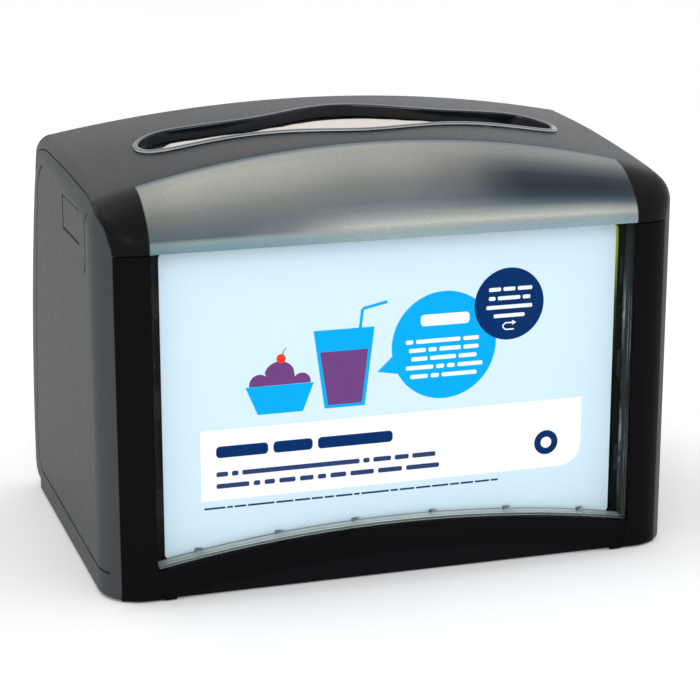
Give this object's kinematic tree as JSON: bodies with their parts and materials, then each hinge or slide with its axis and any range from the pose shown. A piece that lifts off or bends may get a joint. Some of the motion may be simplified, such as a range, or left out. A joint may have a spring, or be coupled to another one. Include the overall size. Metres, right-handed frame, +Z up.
{
  "type": "napkin dispenser",
  "caption": "Tabletop napkin dispenser: hinged crowned lid with a wavy top slot, framed clear card window, sprung napkin tray and side release buttons.",
  "frame": {"origin": "centre of the footprint's box, on the table under the feet", "axes": "+X to the right of someone facing the card, +Y to the rear, +Z up"},
  "size_m": [0.307, 0.2123, 0.2275],
  "materials": {
    "smoked_lid": "satin, smoke grey, frosted over its front window",
    "lid_frame": "black, fine grain",
    "slot_rim": "glossy dark grey",
    "side_panel": "mid grey, fine grain",
    "button": "warm grey, fine grain",
    "front_frame": "black, semi-gloss",
    "base": "black, fine grain",
    "backing": "black",
    "clear": "clear, polished",
    "clip": "clear, polished",
    "card": "light blue print, satin",
    "napkins": "off-white tissue, matt",
    "magazine": "dark grey",
    "pusher": "grey",
    "latch": "black, slightly waxy",
    "hinge": "black, satin",
    "steel": "bright zinc",
    "spring": "drawn wire",
    "foot": "black, matt"
  },
  "bodies": {
    "body": {"base_tray": "base", "base_screws": "steel", "rubber_feet": "foot", "side_panel_right": "side_panel", "side_panel_left": "side_panel", "front_post_right": "front_frame", "front_post_left": "front_frame", "front_bottom_band": "front_frame", "rear_shell": "side_panel", "hinge_leaves_body": "hinge", "hinge_screws_body": "steel", "hinge_pins": "steel", "top_crossbar": "front_frame", "clear_window": "clear", "window_clips": "clip", "insert_card": "card", "insert_card_rear": "card", "card_backing": "backing", "magazine_side_right": "magazine", "magazine_side_left": "magazine", "magazine_front": "magazine", "magazine_rear": "magazine", "pusher_spring_right": "spring", "pusher_spring_left": "spring", "button_spring_right": "spring", "button_spring_left": "spring"},
    "lid": {"lid_cover": "smoked_lid", "lid_frame": "lid_frame", "lid_screws": "steel", "slot_rim": "slot_rim", "lid_catch_right": "latch", "lid_catch_left": "latch", "hinge_leaves_lid": "hinge", "hinge_screws_lid": "steel"},
    "pusher": {"pusher_plate": "pusher", "guide_shoes": "latch", "napkin_stack": "napkins"},
    "button_right": {"release_button_right": "button", "latch_slide_right": "latch"},
    "button_left": {"release_button_left": "button", "latch_slide_left": "latch"}
  },
  "joints": [
    {"name": "lid_hinge", "type": "hinge", "parent": "body", "child": "lid", "pos_m": [0, 0.07475, 0.1915], "axis": [-1, 0, 0], "range_deg": [0, 100]},
    {"name": "pusher_slide", "type": "slide", "parent": "body", "child": "pusher", "axis": [0, 0, 1], "range_m": [-0.06, 0], "stiffness_N_per_m": 120, "springref_m": 0.12, "deforming": ["pusher_spring_right", "pusher_spring_left"]},
    {"name": "button_right_push", "type": "slide", "parent": "body", "child": "button_right", "axis": [-1, 0, 0], "range_m": [0, 0.003], "stiffness_N_per_m": 600, "springref_m": -0.002, "deforming": ["button_spring_right"]},
    {"name": "button_left_push", "type": "slide", "parent": "body", "child": "button_left", "axis": [1, 0, 0], "range_m": [0, 0.003], "stiffness_N_per_m": 600, "springref_m": -0.002, "deforming": ["button_spring_left"]}
  ]
}
